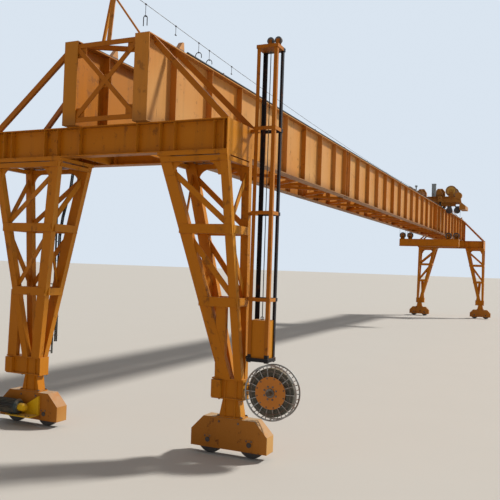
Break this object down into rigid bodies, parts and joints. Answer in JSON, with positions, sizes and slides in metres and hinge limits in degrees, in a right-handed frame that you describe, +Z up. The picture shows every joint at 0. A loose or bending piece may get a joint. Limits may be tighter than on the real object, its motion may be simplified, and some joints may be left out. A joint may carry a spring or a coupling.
{
  "type": "half-size rail-mounted double-girder gantry crane",
  "caption": "Half-size gantry crane: two plate girders on lattice legs with wheeled bogies, winch trolley, lifting beam and cable reel.",
  "frame": {"origin": "middle of the crane in plan, at the level of the rail heads where the wheels stand", "axes": "+X along the ground rails, +Y along the girders from the near portal to the far one, +Z up"},
  "size_m": [4.185, 29.03, 5.72],
  "materials": {
    "orange_paint": "weathered orange gloss paint with light rust",
    "rail_steel": "dark rolled steel",
    "wheel_steel": "dark worn steel",
    "motor_paint": "grey-green paint",
    "wire_rope": "greased wire rope",
    "drum_paint": "worn amber paint",
    "cabinet_paint": "grey paint",
    "dark_paint": "dark greasy paint",
    "reel_steel": "grey galvanised steel"
  },
  "bodies": {
    "crane": {"right_girder": "orange_paint", "left_girder": "orange_paint", "crane_rails": "rail_steel", "end_frames": "orange_paint", "cross_frames": "orange_paint", "lateral_bracing": "orange_paint", "near_cross_beam": "orange_paint", "far_cross_beam": "orange_paint", "corner_struts": "orange_paint", "near_right_leg": "orange_paint", "near_left_leg": "orange_paint", "far_right_leg": "orange_paint", "far_left_leg": "orange_paint", "leg_feet": "orange_paint", "near_bogies": "orange_paint", "far_bogies": "orange_paint", "travel_drives": "motor_paint", "ladder": "orange_paint", "wire_masts": "orange_paint", "messenger_wire": "wire_rope", "reel_tower": "orange_paint", "tower_sheaves": "dark_paint", "reel_bracket": "orange_paint", "counterweight_rope": "wire_rope"},
    "trolley": {"trolley_frame": "orange_paint", "trolley_wheels": "wheel_steel", "winch_motor": "motor_paint", "control_cabinet": "cabinet_paint", "trolley_sheaves": "dark_paint", "hoist_ropes": "wire_rope"},
    "lifting_beam": {"lifting_beam": "orange_paint", "lifting_sheaves": "dark_paint"},
    "right_drum": {"right_drum": "drum_paint"},
    "left_drum": {"left_drum": "drum_paint"},
    "counterweight": {"counterweight": "orange_paint"},
    "cable_reel": {"cable_reel": "reel_steel"},
    "wheel_1": {"wheel_1": "wheel_steel"},
    "wheel_2": {"wheel_2": "wheel_steel"},
    "wheel_3": {"wheel_3": "wheel_steel"},
    "wheel_4": {"wheel_4": "wheel_steel"},
    "wheel_5": {"wheel_5": "wheel_steel"},
    "wheel_6": {"wheel_6": "wheel_steel"},
    "wheel_7": {"wheel_7": "wheel_steel"},
    "wheel_8": {"wheel_8": "wheel_steel"}
  },
  "joints": [
    {"name": "trolley_travel", "type": "slide", "parent": "crane", "child": "trolley", "axis": [0, 1, 0], "range_m": [-20.45, 5.45]},
    {"name": "hoist", "type": "slide", "parent": "trolley", "child": "lifting_beam", "axis": [0, 0, 1], "range_m": [-2.9, 0.18], "deforming": ["hoist_ropes"]},
    {"name": "right_drum_spin", "type": "hinge", "parent": "trolley", "child": "right_drum", "pos_m": [0.85, 7.69, 5.465], "axis": [0, 1, 0], "range_deg": [-4600, 300]},
    {"name": "left_drum_spin", "type": "hinge", "parent": "trolley", "child": "left_drum", "pos_m": [-0.85, 7.69, 5.465], "axis": [0, 1, 0], "range_deg": [-300, 4600]},
    {"name": "counterweight_lift", "type": "slide", "parent": "crane", "child": "counterweight", "axis": [0, 0, 1], "range_m": [0, 2.9], "deforming": ["counterweight_rope"]},
    {"name": "reel_spin", "type": "hinge", "parent": "crane", "child": "cable_reel", "pos_m": [1.945, -13.85, 0.765], "axis": [0, 1, 0], "range_deg": [0, 1700]},
    {"name": "wheel_1_spin", "type": "hinge", "parent": "crane", "child": "wheel_1", "pos_m": [1.195, -13.835, 0.165], "axis": [0, 1, 0], "continuous": true},
    {"name": "wheel_2_spin", "type": "hinge", "parent": "crane", "child": "wheel_2", "pos_m": [1.715, -13.835, 0.165], "axis": [0, 1, 0], "continuous": true},
    {"name": "wheel_3_spin", "type": "hinge", "parent": "crane", "child": "wheel_3", "pos_m": [-1.195, -13.835, 0.165], "axis": [0, 1, 0], "continuous": true},
    {"name": "wheel_4_spin", "type": "hinge", "parent": "crane", "child": "wheel_4", "pos_m": [-1.715, -13.835, 0.165], "axis": [0, 1, 0], "continuous": true},
    {"name": "wheel_5_spin", "type": "hinge", "parent": "crane", "child": "wheel_5", "pos_m": [1.195, 13.835, 0.165], "axis": [0, 1, 0], "continuous": true},
    {"name": "wheel_6_spin", "type": "hinge", "parent": "crane", "child": "wheel_6", "pos_m": [1.715, 13.835, 0.165], "axis": [0, 1, 0], "continuous": true},
    {"name": "wheel_7_spin", "type": "hinge", "parent": "crane", "child": "wheel_7", "pos_m": [-1.195, 13.835, 0.165], "axis": [0, 1, 0], "continuous": true},
    {"name": "wheel_8_spin", "type": "hinge", "parent": "crane", "child": "wheel_8", "pos_m": [-1.715, 13.835, 0.165], "axis": [0, 1, 0], "continuous": true}
  ],
  "couplings": [
    {"joint": "right_drum_spin", "follows": "hoist", "rad_per_m": 26.667},
    {"joint": "left_drum_spin", "follows": "hoist", "rad_per_m": -26.667},
    {"joint": "reel_spin", "follows": "counterweight_lift", "rad_per_m": 10}
  ]
}
